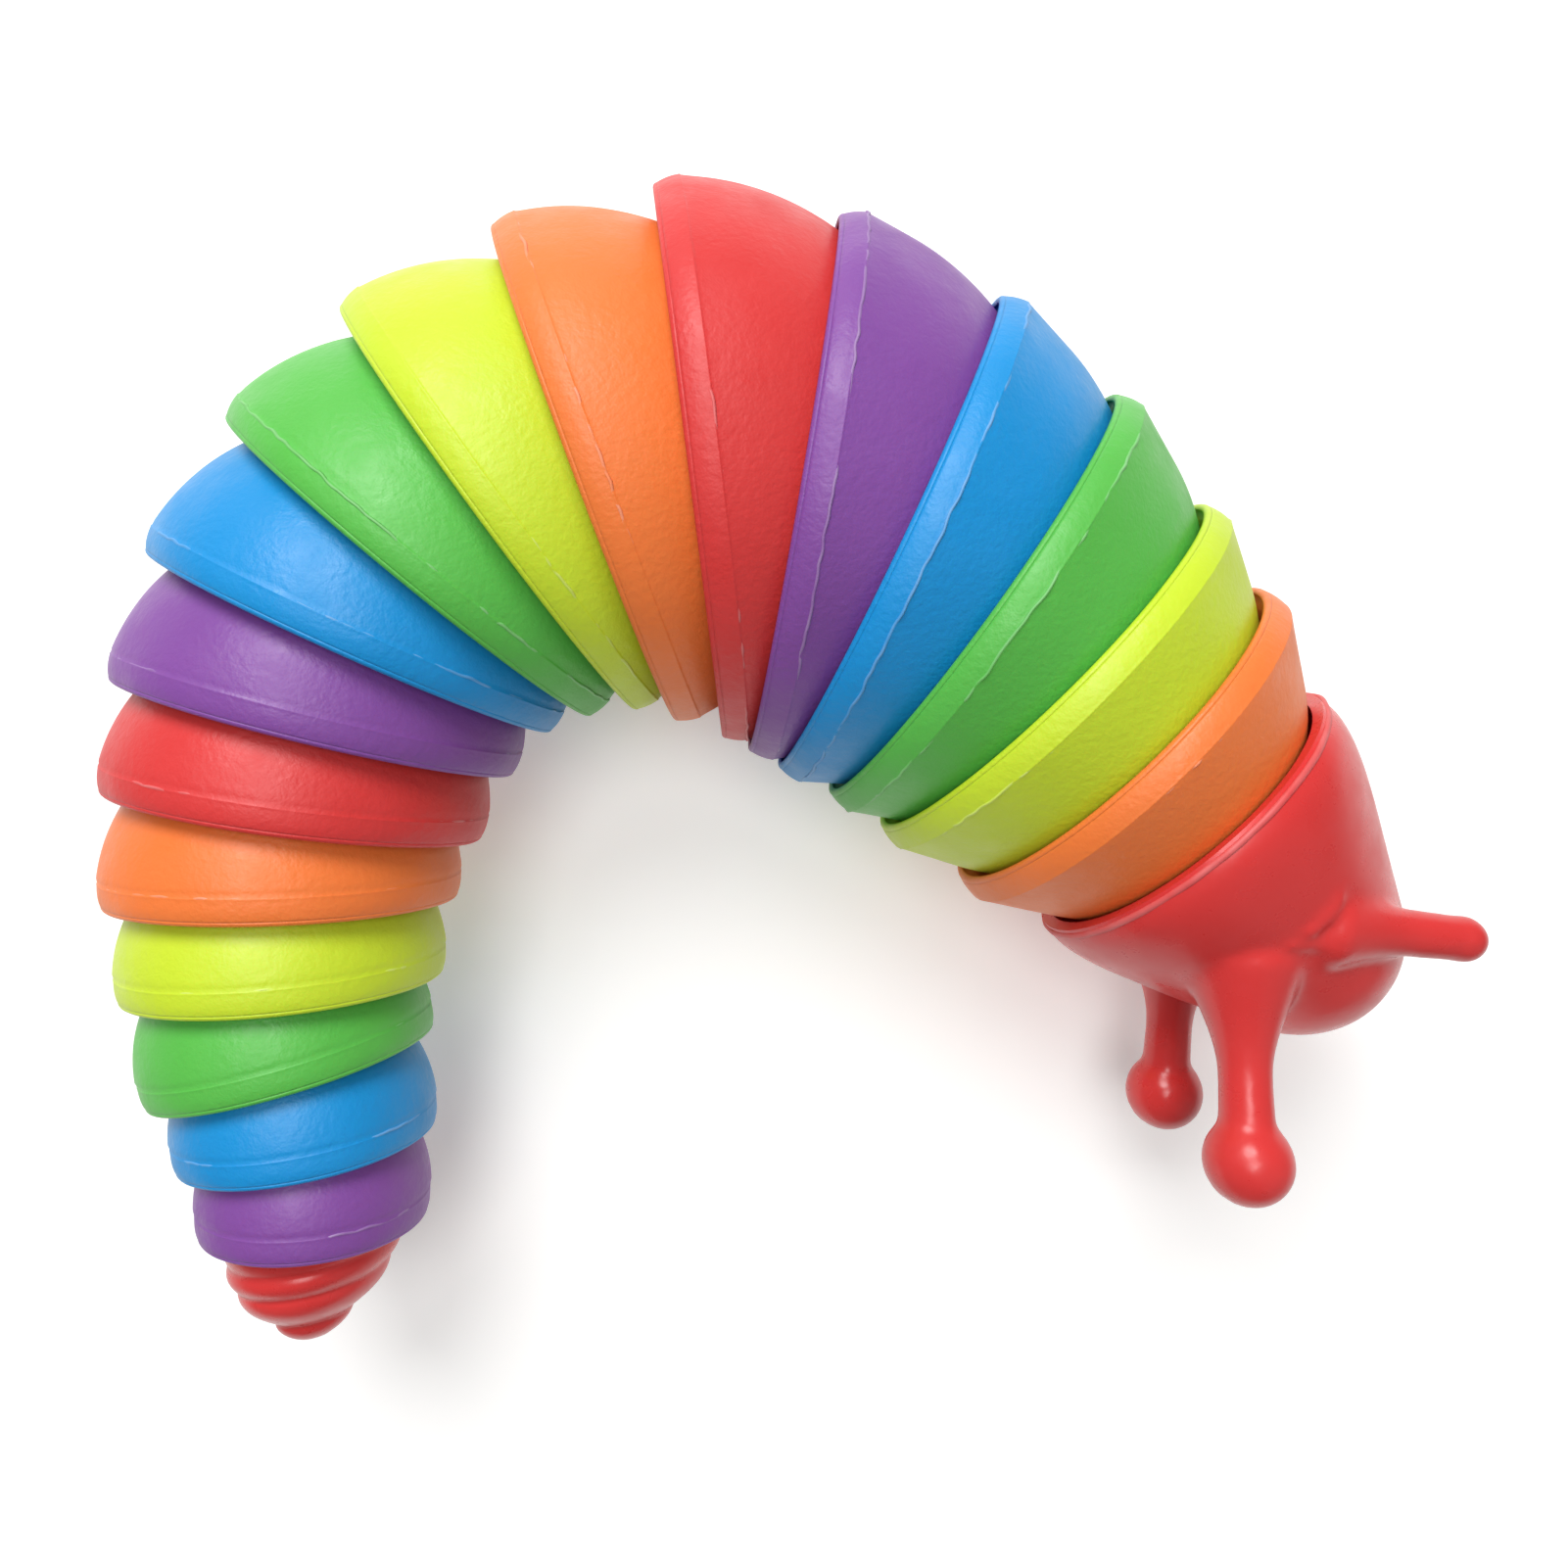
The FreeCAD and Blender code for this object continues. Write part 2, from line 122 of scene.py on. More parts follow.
class Row:
    """Every ring's sizes in millimetres and its place, from the frame's hinges."""

    def __init__(self, sizes):
        crown, neck, end = sizes.crown / MM, sizes.neck / MM, sizes.end / MM
        self.lip, self.collar = sizes.lip / MM, sizes.collar / MM
        wall, gap = sizes.wall / MM, sizes.gap / MM
        self.wide, self.rim, self.edge = {}, {0: 0.0}, {}
        self.inner, self.cover, self.step = {0: 14.0}, {}, {}
        self.ball, self.pin, self.seat = {}, {}, {}
        for k in range(1, TAIL):
            if k <= CROWN:
                self.wide[k] = crown - (crown - neck) * ((CROWN - k) / (CROWN - 1)) ** 1.5
                self.rim[k] = 1 + 0.12 * (CROWN - k)
            else:
                share = (k - CROWN) / (LAST - CROWN)
                self.wide[k] = crown - (crown - end) * share
                self.rim[k] = 1 - 3.6 * share
            self.edge[k] = self.wide[k] - 0.2 - 0.012 * self.wide[k]
            self.inner[k] = self.edge[k] - self.lip
            pitch = 5.2 + 0.16 * self.wide[k] if k > 1 else 9.2
            self.cover[k] = pitch + self.rim[k]
            self.step[k] = self.cover[k] - self.rim[k - 1]
            self.ball[k] = min(self.wide[k], math.hypot(self.inner[k - 1], self.cover[k]) - gap)
            self.pin[k] = 0.55 + 0.015 * self.wide[k]
        self.cover[TAIL] = 3.2
        self.step[TAIL] = self.cover[TAIL] - self.rim[LAST]
        self.ball[TAIL] = 8.2
        self.pin[TAIL] = 0.7
        self.hollow = {k: ball - wall for k, ball in self.ball.items()}
        self.seat[1] = self.ball[1] + self.pin[1] + DOME_CLEAR - self.step[1]
        for k in range(2, TAIL + 1):
            near = self.cover[k - 1] + self.pin[k] + PLATE_CLEAR
            far = self.ball[k] + self.pin[k] + DOME_CLEAR - self.step[k]
            self.seat[k] = max(near, far)
        self.find_places()

    def find_places(self):
        """Each ring's own frame: origin on its hinge, +X towards the head."""
        spot, bend, self.limit = {}, {}, {}
        for joint in frame["joints"]:
            k = int(joint["name"][-2:])
            spot[k] = Vector(joint["pos_m"])
            low, high = joint["range_deg"]
            bend[k] = -(low + high) / 2
            self.limit[k] = (high - low) / 2
        heading = {}
        for k in range(1, TAIL):
            ahead = spot[k] - spot[k + 1]
            heading[k] = math.atan2(ahead.y, ahead.x)
        heading[0] = heading[1] - math.radians(bend[1])
        heading[TAIL] = heading[LAST] + math.radians(bend[TAIL])
        forward = Vector((math.cos(heading[0]), math.sin(heading[0]), 0))
        spot[0] = spot[1] + forward * self.step[1] * MM
        self.place = {}
        for k in spot:
            self.place[k] = Matrix.Translation(spot[k]) @ Matrix.Rotation(heading[k], 4, "Z")

    def body(self, k):
        return "head" if k == 0 else "tail_cone" if k == TAIL else "ring_%02d_%s" % (k, self.colour(k))

    def colour(self, k):
        return "red" if k in (0, TAIL) else COLOURS[(k - 1) % 6]


# ---------------------------------------------------------------- materials


def add_node(tree, kind, settings, links):
    """Adds a node; settings are attributes or input values, links are input: (node, output)."""
    node = tree.nodes.new(kind)
    for key, value in settings.items():
        if hasattr(node, key):
            setattr(node, key, value)
        else:
            node.inputs[key].default_value = value
    for key, (source, output) in links.items():
        tree.links.new(source.outputs[output], node.inputs[key])
    return node


def material(name):
    """A new material of that name, and its emptied tree."""
    made = bpy.data.materials.new(name)
    made.use_nodes = True
    made.node_tree.nodes.clear()
    return made, made.node_tree


def moulded_polypropylene(name, tint, grain, roughness=0.47, pebble=0.5):
    """Polypropylene from a grained steel mould: a satin skin that spreads each highlight over fine
    pebbles, slightly uneven in tone, a little light passing through at thin edges."""
    made, tree = material(name)
    place = add_node(tree, "ShaderNodeTexCoord", {}, {})
    # slow drift of tone, about one patch every 12 mm, as pigment settles unevenly in the melt
    drift = add_node(tree, "ShaderNodeTexNoise", {"Scale": 1 / 0.012, "Detail": 3.0, "Roughness": 0.55},
                     {"Vector": (place, "Object")})
    light = tuple(min(1.0, c * 1.07 + 0.006) for c in tint)
    dark = tuple(c * 0.90 for c in tint)
    tone = add_node(tree, "ShaderNodeMix", {"data_type": "RGBA"}, {"Factor": (drift, "Fac")})
    tone.inputs[6].default_value = (*dark, 1)
    tone.inputs[7].default_value = (*light, 1)
    # pebbles of the mould's grain; real ones are about 0.15 mm, drawn coarser so that they show
    pebbles = add_node(tree, "ShaderNodeTexNoise", {"Scale": 1 / grain, "Detail": 2.0, "Roughness": 0.6},
                       {"Vector": (place, "Object")})
    # handling wear: patches of 3 to 4 mm rubbed smoother than the rest
    wear = add_node(tree, "ShaderNodeTexNoise", {"Scale": 1 / 0.0035, "Detail": 4.0, "Roughness": 0.65},
                    {"Vector": (place, "Object")})
    polish = add_node(tree, "ShaderNodeMapRange",
                      {"From Min": 0.35, "From Max": 0.7,
                       "To Min": roughness + 0.07, "To Max": roughness - 0.08},
                      {"Value": (wear, "Fac")})
    relief = add_node(tree, "ShaderNodeBump", {"Strength": pebble, "Distance": 0.00013},
                      {"Height": (pebbles, "Fac")})
    skin = add_node(tree, "ShaderNodeBsdfPrincipled",
                    {"IOR": 1.49, "Subsurface Weight": 0.08, "Subsurface Scale": 0.0015},
                    {"Base Color": (tone, 2), "Roughness": (polish, "Result"), "Normal": (relief, "Normal")})
    add_node(tree, "ShaderNodeOutputMaterial", {}, {"Surface": (skin, "BSDF")})
    return made


def torn_flash(name, tint, pale=0.22):
    """Polypropylene flash where the mould halves met, scraped back: the same plastic, dry and
    stress-whitened, so it shows as a paler broken line."""
    made, tree = material(name)
    place = add_node(tree, "ShaderNodeTexCoord", {}, {})
    # whitening comes and goes every 2 mm or so along the fin
    patches = add_node(tree, "ShaderNodeTexNoise", {"Scale": 1 / 0.002, "Detail": 2.0},
                       {"Vector": (place, "Object")})
    tone = add_node(tree, "ShaderNodeMix", {"data_type": "RGBA"}, {"Factor": (patches, "Fac")})
    tone.inputs[6].default_value = (*tint, 1)
    tone.inputs[7].default_value = (*(c * (0.97 - pale) + pale for c in tint), 1)
    skin = add_node(tree, "ShaderNodeBsdfPrincipled", {"IOR": 1.49, "Roughness": 0.5},
                    {"Base Color": (tone, 2)})
    add_node(tree, "ShaderNodeOutputMaterial", {}, {"Surface": (skin, "BSDF")})
    return made


def drawn_rod(name, tint):
    """Natural nylon rod, drawn: milky, with faint lines along it every 0.3 mm."""
    made, tree = material(name)
    place = add_node(tree, "ShaderNodeTexCoord", {}, {})
    stretch = add_node(tree, "ShaderNodeMapping", {"Scale": (1.0, 1.0, 0.04)}, {"Vector": (place, "Object")})
    lines = add_node(tree, "ShaderNodeTexNoise", {"Scale": 1 / 0.0003, "Detail": 2.0},
                     {"Vector": (stretch, "Vector")})
    tone = add_node(tree, "ShaderNodeMix", {"data_type": "RGBA"}, {"Factor": (lines, "Fac")})
    tone.inputs[6].default_value = (*(c * 0.92 for c in tint), 1)
    tone.inputs[7].default_value = (*tint, 1)
    relief = add_node(tree, "ShaderNodeBump", {"Strength": 0.3, "Distance": 0.00004},
                      {"Height": (lines, "Fac")})
    skin = add_node(tree, "ShaderNodeBsdfPrincipled",
                    {"IOR": 1.53, "Roughness": 0.4, "Subsurface Weight": 0.15, "Subsurface Scale": 0.001},
                    {"Base Color": (tone, 2), "Normal": (relief, "Normal")})
    add_node(tree, "ShaderNodeOutputMaterial", {}, {"Surface": (skin, "BSDF")})
    return made


def matt_card(name, tint):
    """Matt white card on a light table: no gloss, a barely uneven tone, a faint glow from below."""
    made, tree = material(name)
    place = add_node(tree, "ShaderNodeTexCoord", {}, {})
    # tone drifts over about 50 mm
    drift = add_node(tree, "ShaderNodeTexNoise", {"Scale": 1 / 0.05, "Detail": 2.0},
                     {"Vector": (place, "Object")})
    tone = add_node(tree, "ShaderNodeMix", {"data_type": "RGBA"}, {"Factor": (drift, "Fac")})
    tone.inputs[6].default_value = (*(c * 0.985 for c in tint), 1)
    tone.inputs[7].default_value = (*tint, 1)
    skin = add_node(tree, "ShaderNodeBsdfPrincipled",
                    {"Roughness": 0.9, "Emission Color": (1, 1, 1, 1), "Emission Strength": 0.3},
                    {"Base Color": (tone, 2)})
    add_node(tree, "ShaderNodeOutputMaterial", {}, {"Surface": (skin, "BSDF")})
    return made


def plastic(scene, colour_name, gloss=False):
    """The moulded plastic of one colour, made once."""
    name = "moulded polypropylene " + colour_name + (" smooth" if gloss else "")
    if name in bpy.data.materials:
        return bpy.data.materials[name]
    tint = tuple(getattr(scene.slug_colours, colour_name))
    if gloss:
        return moulded_polypropylene(name, tint, scene.slug_sizes.grain * 1.6, roughness=0.30, pebble=0.10)
    return moulded_polypropylene(name, tint, scene.slug_sizes.grain)


# ---------------------------------------------------------------- shapes


def hook(x0, r0, slope0, x1, r1, slope1, count):
    """Points of a smooth curve between two points with a given slope at each; the last is left out."""
    points = []
    span = x1 - x0
    for i in range(count):
        t = i / count
        a = 2 * t**3 - 3 * t**2 + 1
        b = t**3 - 2 * t**2 + t
        c = -2 * t**3 + 3 * t**2
        d = t**3 - t**2
        points.append((x0 + span * t, a * r0 + b * span * slope0 + c * r1 + d * span * slope1))
    return points


def ball_arc(radius, x0, x1, count, centre=0.0):
    """Points of a ball's outline from one x to another; the last is left out."""
    first = math.acos(max(-1, min(1, (x0 - centre) / radius)))
    last = math.acos(max(-1, min(1, (x1 - centre) / radius)))
    angles = [first + (last - first) * i / count for i in range(count)]
    return [(centre + radius * math.cos(a), radius * math.sin(a)) for a in angles]


def straight(a, b, count):
    """Points from a towards b; the last is left out."""
    return [(a[0] + (b[0] - a[0]) * i / count, a[1] + (b[1] - a[1]) * i / count) for i in range(count)]


def turned(outline, segments, closed, shift=None):
    """A mesh in millimetres: an outline of (x, radius) points turned about X.
    shift, if given, moves each point: shift(x, radius, angle) returns a new (x, radius)."""
    mesh = bmesh.new()
    loops = []
    for x, radius in outline:
        if radius < 1e-6:
            loops.append([mesh.verts.new((x, 0, 0))])
            continue
        loop = []
        for s in range(segments):
            angle = 2 * math.pi * s / segments
            px, pr = shift(x, radius, angle) if shift else (x, radius)
            loop.append(mesh.verts.new((px, pr * math.cos(angle), pr * math.sin(angle))))
        loops.append(loop)
    pairs = list(zip(loops, loops[1:]))
    if closed:
        pairs.append((loops[-1], loops[0]))
    for a, b in pairs:
        for s in range(segments):
            t = (s + 1) % segments
            corners = [a[s % len(a)], a[t % len(a)], b[t % len(b)], b[s % len(b)]]
            face = list(dict.fromkeys(corners))
            if len(face) > 2:
                mesh.faces.new(face)
    bmesh.ops.recalc_face_normals(mesh, faces=mesh.faces)
    return mesh


def join_into(mesh, other):
    """Adds one bmesh's faces to another and frees it."""
    spare = bpy.data.meshes.new("spare")
    other.to_mesh(spare)
    other.free()
    mesh.from_mesh(spare)
    bpy.data.meshes.remove(spare)


def piece_from(mesh, name, place, materials):
    """A smooth-shaded object, in metres, from a bmesh drawn in millimetres in a ring's own frame."""
    mesh.transform(place @ Matrix.Scale(MM, 4))
    data = bpy.data.meshes.new(name)
    mesh.to_mesh(data)
    mesh.free()
    data.shade_smooth()
    piece = bpy.data.objects.new(name, data)
    bpy.context.scene.collection.objects.link(piece)
    for m in materials:
        data.materials.append(m)
    return piece


def settled(piece):
    """The piece with its modifiers worked into its mesh."""
    graph = bpy.context.evaluated_depsgraph_get()
    graph.update()
    data = bpy.data.meshes.new_from_object(piece.evaluated_get(graph))
    piece.modifiers.clear()
    old = piece.data
    piece.data = data
    bpy.data.meshes.remove(old)
    return piece


def wavering(seed, amount, size):
    """A shift that lets the surface waver very slightly, as thin moulded walls do."""
    def shift(x, radius, angle):
        here = Vector((x, radius * math.cos(angle), radius * math.sin(angle))) / size
        here = here + Vector((seed * 7.3, 0, 0))
        return x, radius + amount * noise.noise(here)
    return shift


def tongue(row, k, base):
    """The flat tongue with its arc slot that reaches to the pin in the part in front."""
    swing = row.step[k] + row.seat[k]
    slot = row.limit[k] + 0.6 + math.degrees(math.asin(row.pin[k] / swing))
    outer = slot + math.degrees(math.asin(WEB / swing))
    near, far = swing - row.pin[k] - PLAY, swing + row.pin[k] + PLAY
    tip = swing + row.pin[k] + WEB
    # the tip's corners are cut off so that they clear the wall in front
    radii = [(base, 0), ((base + near) / 2, 0), (near, 0), (far, 0.2), (tip, 1)]
    turns = [-outer, -slot] + [slot * (i / 7 - 1) for i in range(1, 14)] + [slot, outer]
    mesh = bmesh.new()
    grid = []
    for r, cut in radii:
        trim = cut * math.degrees(WEB / tip)
        line = []
        for t in turns:
            t = max(-outer + trim, min(outer - trim, t))
            angle = math.radians(t)
            line.append(mesh.verts.new((r * math.cos(angle), r * math.sin(angle), -HALF_THICK)))
        grid.append(line)
    for i in range(len(radii) - 1):
        for j in range(len(turns) - 1):
            if i == 2 and 0 < j < len(turns) - 2:
                continue
            mesh.faces.new([grid[i][j], grid[i + 1][j], grid[i + 1][j + 1], grid[i][j + 1]])
    raised = bmesh.ops.extrude_face_region(mesh, geom=mesh.faces[:])
    top = [g for g in raised["geom"] if isinstance(g, bmesh.types.BMVert)]
    bmesh.ops.translate(mesh, verts=top, vec=(0, 0, 2 * HALF_THICK))
    bmesh.ops.recalc_face_normals(mesh, faces=mesh.faces)
    return mesh


def cross_plate(row, k, back, front):
    """The flat plate inside a ring's narrow end that its tongue grows from."""
    middle = (row.ball[k] + row.hollow[k]) / 2
    wide = math.sqrt(middle**2 - back**2)
    narrow = math.sqrt(middle**2 - front**2)
    mesh = bmesh.new()
    corners = [(back, -wide), (back, wide), (front, narrow), (front, -narrow)]
    low = [mesh.verts.new((x, y, -HALF_THICK)) for x, y in corners]
    mesh.faces.new(low)
    raised = bmesh.ops.extrude_face_region(mesh, geom=mesh.faces[:])
    top = [g for g in raised["geom"] if isinstance(g, bmesh.types.BMVert)]
    bmesh.ops.translate(mesh, verts=top, vec=(0, 0, 2 * HALF_THICK))
    bmesh.ops.recalc_face_normals(mesh, faces=mesh.faces)
    return mesh


def ring_outline(row, k):
    """The closed outline of one ring's wall: rim, collar, ledge, dome, narrow end and inside."""
    rim, wide, edge, inner = row.rim[k], row.wide[k], row.edge[k], row.inner[k]
    ball, hollow = row.ball[k], row.hollow[k]
    plate = row.seat[k + 1] + row.pin[k + 1] + 1.35
    neck = min(plate + 0.6 + 0.06 * wide, 0.972 * hollow)
    line = rim + row.collar
    half = row.lip / 2
    middle = (inner + edge) / 2
    top = wide - 0.10
    # the flank leaves the parting line straight and runs tangent into the dome
    flare = ball * math.sin(math.atan2(line, top) + math.acos(min(1.0, ball / math.hypot(line, top))))
    outline = []
    for i in range(9):
        angle = math.pi * (0.5 + i / 8)
        outline.append((rim + half + half * math.cos(angle), middle - half * math.sin(angle)))
    outline.reverse()
    outline = outline[:-1]
    outline += hook(rim + half, edge, 0.42, line - 0.12, top, 0.02, 10)
    outline += [(line - 0.10, top), (line - 0.03, top + 0.015)]
    outline += [(line + 0.04, top + 0.005), (line + 0.10, top - 0.05)]
    rise = math.sqrt(ball**2 - flare**2)
    if flare > line + 0.5:
        lean = (rise - top) / (flare - line)
        outline += hook(line + 0.14, top - 0.07, lean, flare, rise, lean, 12)
    else:
        flare = line + 0.5
    outline += ball_arc(ball, flare, neck, 26)
    outline += straight((neck, math.sqrt(ball**2 - neck**2)), (neck, math.sqrt(hollow**2 - neck**2)), 2)
    outline += ball_arc(hollow, neck, line, 16)
    outline += straight((line, math.sqrt(hollow**2 - line**2)), (rim + half, inner), 4)
    return outline, plate, neck, line


def flash_outline(line, wide):
    """The fin's cross section at the parting line; its peak is set point by point."""
    return [(line - 0.16, wide - 0.16), (line - 0.06, wide - 0.02),
            (line + 0.06, wide - 0.02), (line + 0.17, wide - 0.26)]


def horn(base, tip, ball, thin, root, neck_bulge=0.0, spread=0.45):
    """A stalk of revolution from base to tip: rounded foot, flared root, thin stem, round tip."""
    start, end = Vector(base), Vector(tip)
    reach = (end - start).length
    waist = min(thin * 0.985 + neck_bulge, ball * 0.985)
    meet = math.sqrt(ball * ball - waist * waist)
    stem = reach * spread
    foot = [math.pi / 2 * i / 8 for i in range(8)]
    outline = [(-0.75 * root * math.cos(a), root * math.sin(a)) for a in foot]
    outline += hook(0.0, root, -0.35, stem, thin, 0.0, 16)
    outline += hook(stem, thin, 0.0, reach - meet, waist, 0.02, 8)
    outline += ball_arc(ball, reach - meet, reach + ball, 18, centre=reach)
    outline += [(reach + ball, 0.0)]
    mesh = turned(outline, 40, False)
    turn = (end - start).to_track_quat("X", "Z").to_matrix().to_4x4()
    mesh.transform(Matrix.Translation(start) @ turn)
    return mesh


def ridge(points, radius):
    """A thin raised crease through a few points, for the folds at a feeler's root."""
    mesh = bmesh.new()
    for a, b in zip(points, points[1:]):
        a, b = Vector(a), Vector(b)
        for i in range(8):
            here = a.lerp(b, i / 8)
            bmesh.ops.create_icosphere(mesh, subdivisions=2, radius=radius, matrix=Matrix.Translation(here))
    return mesh


# ---------------------------------------------------------------- operators


class SLUG_OT_stage(bpy.types.Operator):
    """Floor, soft studio light and the camera straight above the toy"""

    bl_idname = "slug.stage"
    bl_label = "Stage"

    def execute(self, context):
        scene = context.scene
        colours = scene.slug_colours
        mesh = bmesh.new()
        bmesh.ops.create_grid(mesh, x_segments=2, y_segments=2, size=1.5)
        card = matt_card("matt white card", tuple(colours.floor))
        floor = piece_from(mesh, "floor", Matrix.Scale(1 / MM, 4), [card])
        self.add_light(scene, "window", (-0.12, 0.40, 0.50), 0.34, 3.25)
        self.add_light(scene, "overhead", (-0.06, 0.08, 0.75), 0.30, 2.0)
        self.add_light(scene, "bounce", (0.45, -0.35, 0.35), 0.60, 0.15)
        world = bpy.data.worlds.new("studio")
        scene.world = world
        world.use_nodes = True
        world.node_tree.nodes["Background"].inputs["Color"].default_value = (1, 1, 1, 1)
        world.node_tree.nodes["Background"].inputs["Strength"].default_value = 0.15
        scene.view_settings.view_transform = "Standard"
        camera = bpy.data.objects.new("camera", bpy.data.cameras.new("camera"))
        scene.collection.objects.link(camera)
        camera.location = (-0.0046, 0.0042, 0.1279)
        camera.data.lens = 27.1
        camera.data.shift_x = 0.041
        camera.data.shift_y = -0.041
        camera.data.clip_start = 0.005
        scene.camera = camera
        return {"FINISHED"}

    def add_light(self, scene, name, spot, size, power):
        light = bpy.data.objects.new(name, bpy.data.lights.new(name, "AREA"))
        scene.collection.objects.link(light)
        light.data.shape = "DISK"
        light.data.size = size
        light.data.energy = power
        light.location = spot
        light.rotation_mode = "QUATERNION"
        light.rotation_quaternion = Vector(spot).to_track_quat("Z", "Y")


class SLUG_OT_rings(bpy.types.Operator):
    """The seventeen domed rings, each with its plate and slotted tongue"""

    bl_idname = "slug.rings"
    bl_label = "Rings"

    def execute(self, context):
        row = Row(context.scene.slug_sizes)
        for k in range(1, TAIL):
            outline, plate, neck, line = ring_outline(row, k)
            mesh = turned(outline, 168, True, wavering(k, 0.045, 6.0))
            join_into(mesh, cross_plate(row, k, plate, neck))
            join_into(mesh, tongue(row, k, neck - 0.5))
            name = row.body(k)
            shell = piece_from(mesh, "shell_%02d" % k, row.place[k], [plastic(context.scene, row.colour(k))])
            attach(shell, name)
            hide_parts(name)
        return {"FINISHED"}


class SLUG_OT_flash_lines(bpy.types.Operator):
    """The scraped-back flash along each ring's parting line"""

    bl_idname = "slug.flash_lines"
    bl_label = "Flash lines"

    def execute(self, context):
        scene = context.scene
        row = Row(scene.slug_sizes)
        height = scene.slug_sizes.flash / MM
        for k in range(1, TAIL):
            line = row.rim[k] + row.collar
            wide = row.wide[k]
            tint_name = row.colour(k)
            worn = (1 - FLASH_LEFT[k - 1]) * 0.16

            def shift(x, radius, angle):
                around = Vector((math.cos(angle), math.sin(angle), 0)) * wide
                long_wave = noise.noise(around / 9.0 + Vector((0, 0, k * 3.7)))
                nick = noise.noise(around / 1.3 + Vector((0, 0, k * 5.1)))
                peak = max(-0.12, min(height, long_wave * 0.32 + nick * 0.12 + 0.02 - worn))
                is_peak = abs(x - line) < 0.1
                return x + nick * 0.18, (wide - height + peak if is_peak else radius)

            mesh = turned(flash_outline(line, wide), 420, True, shift)
            tint = tuple(getattr(scene.slug_colours, tint_name))
            title = "scraped flash " + tint_name
            skin = bpy.data.materials.get(title) or torn_flash(title, tint)
            fin = piece_from(mesh, "flash_%02d" % k, row.place[k], [skin])
            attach(fin, row.body(k))
        return {"FINISHED"}


class SLUG_OT_head(bpy.types.Operator):
    """The head in one piece: blunt cone, eye stalks and feelers melted into it, hollow behind"""

    bl_idname = "slug.head"
    bl_label = "Head"

    def execute(self, context):
        row = Row(context.scene.slug_sizes)
        nose, tip = 9.2, 23.6
        cheek = tip - nose + 3.5
        cheek_r = math.sqrt(nose**2 - 3.5**2)
        outline = [(-0.6, 0.0), (-0.6, 14.9), (0.0, 15.0)]
        outline += hook(0.2, 15.02, 0.3, 1.8, 15.28, -0.1, 6)
        outline += hook(1.8, 15.28, -0.1, 8.4, 13.05, -0.45, 12)
        outline += hook(8.4, 13.05, -0.45, cheek, cheek_r, -0.47, 16)
        outline += ball_arc(nose, cheek, tip, 24, centre=tip - nose)
        outline += [(tip, 0.0)]
        mesh = turned(outline, 120, False, wavering(31, 0.10, 9.0))
        for side in (1, -1):
            eye_stalk = horn((10.6, -6.0, 6.9 * side), (21.8, -17.2, 9.0 * side),
                             ball=3.55, thin=2.1, root=5.0, neck_bulge=0.12, spread=0.58)
            feeler = horn((12.6, 0.7, 8.5 * side), (21.3, 7.9, 8.0 * side),
                          ball=1.95, thin=1.95, root=3.7, neck_bulge=-0.05, spread=0.62)
            behind_feeler = ridge(
                [(10.5, -1.6, 12.0 * side), (10.6, 0.2, 12.05 * side), (10.2, 2.0, 12.0 * side)], 0.5)
            beside_feeler = ridge(
                [(10.4, -3.3, 11.6 * side), (12.0, -1.6, 11.2 * side), (13.6, -0.6, 10.6 * side)], 0.45)
            for extra in (eye_stalk, feeler, behind_feeler, beside_feeler):
                join_into(mesh, extra)
        head = piece_from(mesh, "head_skin", Matrix.Scale(1 / MM, 4), [])
        # worked in millimetres, then set in place
        melt = head.modifiers.new("melt", "REMESH")
        melt.mode = "VOXEL"
        melt.voxel_size = 0.3
        soften = head.modifiers.new("soften", "SMOOTH")
        soften.factor = 0.5
        soften.iterations = 26
        settled(head)
        inner = row.inner[0]
        room = [(-3.0, 0.0)] + straight((-3.0, 0), (-3.0, inner), 3)[1:]
        room += straight((-3.0, inner), (2.5, inner), 8)
        room += hook(2.5, inner, -0.25, 11.0, 8.6, -1.1, 12)
        room += [(11.0, 8.6), (11.0, 4.0), (11.0, 0.0)]
        cavity = piece_from(turned(room, 120, False), "cavity", Matrix.Scale(1 / MM, 4), [])
        slab = bmesh.new()
        bmesh.ops.create_cube(slab, size=40.0, matrix=Matrix.Translation((-20.0, 0, 0)))
        behind = piece_from(slab, "behind", Matrix.Scale(1 / MM, 4), [])
        for cutter in (behind, cavity):
            cut = head.modifiers.new("cut", "BOOLEAN")
            cut.operation = "DIFFERENCE"
            cut.object = cutter
            settled(head)
        for cutter in (behind, cavity):
            bpy.data.objects.remove(cutter)
        head.data.transform(row.place[0] @ Matrix.Scale(MM, 4))
        head.data.shade_smooth()
        head.data.set_sharp_from_angle(angle=math.radians(50))
        head.data.materials.clear()
        head.data.materials.append(plastic(context.scene, "red", gloss=True))
        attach(head, "head")
        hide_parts("head")
        self.add_bead(context.scene, row)
        return {"FINISHED"}

    def add_bead(self, scene, row):
        """The thin raised bead round the head's rim, scuffed pale."""
        round_it = [2 * math.pi * i / 10 for i in range(10)]
        bead = [(0.55 + 0.30 * math.cos(a), 15.08 + 0.24 * math.sin(a)) for a in round_it]
        mesh = turned(bead, 200, True, wavering(77, 0.12, 3.0))
        scuff = torn_flash("scuffed polypropylene red", tuple(scene.slug_colours.red), pale=0.14)
        ring = piece_from(mesh, "head_rim_bead", row.place[0], [scuff])
        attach(ring, "head")


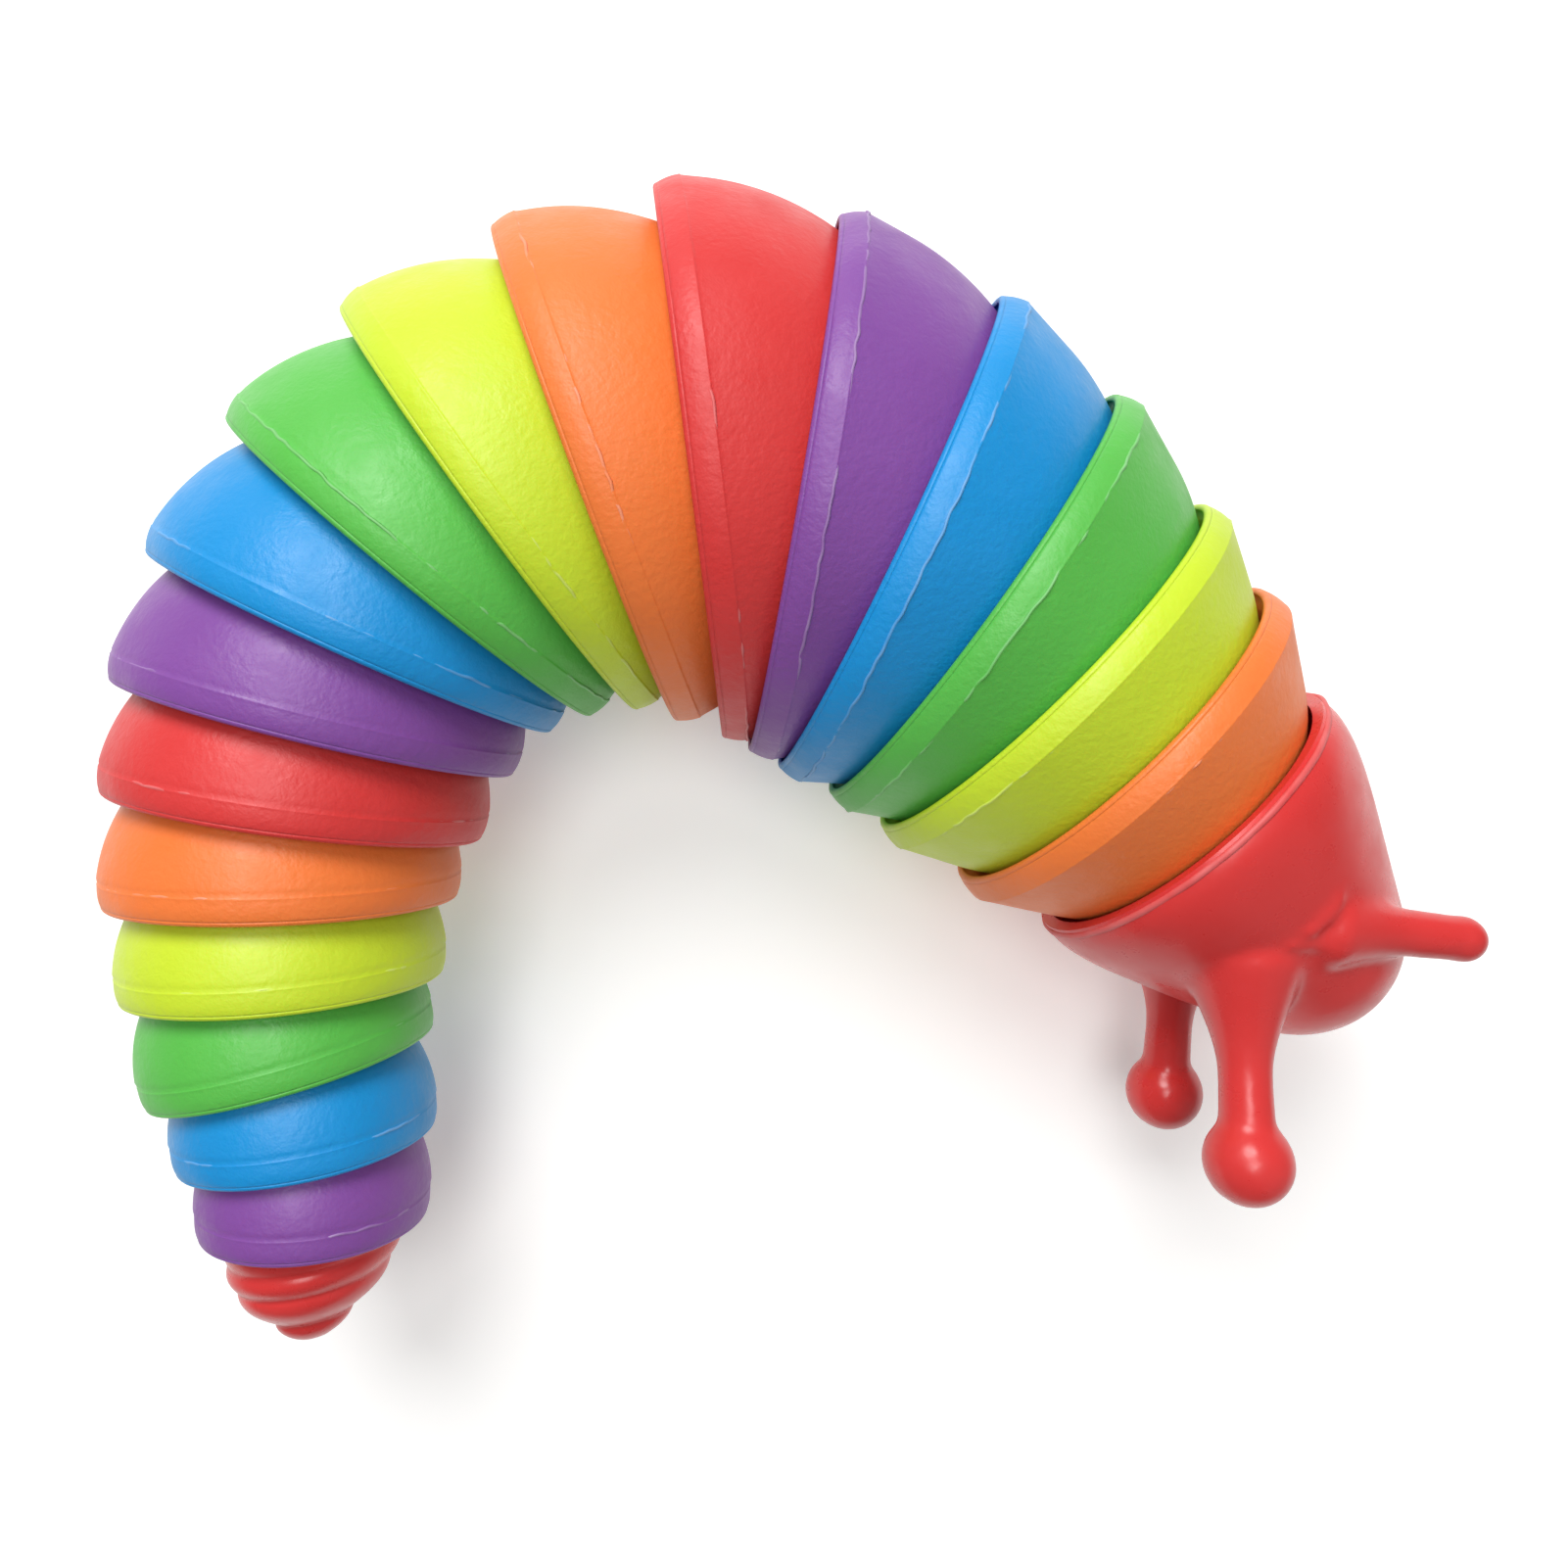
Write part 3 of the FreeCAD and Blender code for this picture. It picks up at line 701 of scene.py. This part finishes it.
class SLUG_OT_tail(bpy.types.Operator):
    """The tail cone with its slanting whorls"""

    bl_idname = "slug.tail"
    bl_label = "Tail cone"

    def execute(self, context):
        row = Row(context.scene.slug_sizes)
        ball = row.ball[TAIL]
        front = 7.2
        outline = [(front, 0.0)] + straight((front, 0.8), (front, math.sqrt(ball**2 - front**2)), 3)
        outline += ball_arc(ball, front, 3.0, 10)
        outline += hook(3.0, math.sqrt(ball**2 - 3.0**2), -0.2, 1.35, 7.15, 0.9, 6)
        outline += hook(1.35, 7.15, -0.5, -0.9, 6.35, 1.2, 8)
        outline += hook(-0.9, 6.35, -0.2, -3.9, 4.3, 1.5, 10)
        outline += hook(-3.9, 4.3, 1.5, -4.6, 3.3, 1.2, 4)
        outline += hook(-4.6, 3.3, -0.1, -6.5, 1.8, 1.7, 7)
        outline += [(-6.5, 1.8), (-6.74, 1.1), (-6.84, 0.5), (-6.86, 0.0)]
        slant = 0.15

        def shift(x, radius, angle):
            # the whorls slope across the cone; the dome that turns in the last ring doesn't
            share = max(0.0, min(1.0, (3.8 - x) / 2.5))
            wavers = 0.04 * noise.noise(Vector((x, angle * 2, 5)))
            return x - slant * share * radius * math.cos(angle), radius + wavers

        mesh = turned(outline, 120, False, shift)
        join_into(mesh, tongue(row, TAIL, front - 0.5))
        cone = piece_from(mesh, "tail_skin", row.place[TAIL], [plastic(context.scene, "red", gloss=True)])
        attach(cone, "tail_cone")
        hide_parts("tail_cone")
        return {"FINISHED"}


class SLUG_OT_pins(bpy.types.Operator):
    """The finish of the hidden cross pins"""

    bl_idname = "slug.pins"
    bl_label = "Cross pins"

    def execute(self, context):
        skin = drawn_rod("drawn natural nylon", tuple(context.scene.slug_colours.natural))
        for k in range(1, TAIL + 1):
            pin = frame["nodes"]["cross_pin_%02d" % k]
            pin.data.materials.clear()
            pin.data.materials.append(skin)
        return {"FINISHED"}


class SLUG_PT_panel(bpy.types.Panel):
    """Lists the steps, sizes and colours"""

    bl_idname = "SLUG_PT_panel"
    bl_label = "Slug"
    bl_space_type = "VIEW_3D"
    bl_region_type = "UI"
    bl_category = "Slug"

    def draw(self, context):
        for step in STEPS:
            self.layout.operator(step.bl_idname)
        for group in (context.scene.slug_sizes, context.scene.slug_colours):
            for name in group.__annotations__:
                self.layout.prop(group, name)


STEPS = (SLUG_OT_stage, SLUG_OT_rings, SLUG_OT_flash_lines, SLUG_OT_head, SLUG_OT_tail, SLUG_OT_pins)
CLASSES = (SlugSizes, SlugColours) + STEPS + (SLUG_PT_panel,)


def register():
    for cls in CLASSES:
        bpy.utils.register_class(cls)
    bpy.types.Scene.slug_sizes = bpy.props.PointerProperty(type=SlugSizes)
    bpy.types.Scene.slug_colours = bpy.props.PointerProperty(type=SlugColours)


def unregister():
    del bpy.types.Scene.slug_colours
    del bpy.types.Scene.slug_sizes
    for cls in reversed(CLASSES):
        bpy.utils.unregister_class(cls)


def main():
    register()
    for name in ("stage", "rings", "flash_lines", "head", "tail", "pins"):
        getattr(bpy.ops.slug, name)()


if __name__ == "__main__":
    main()
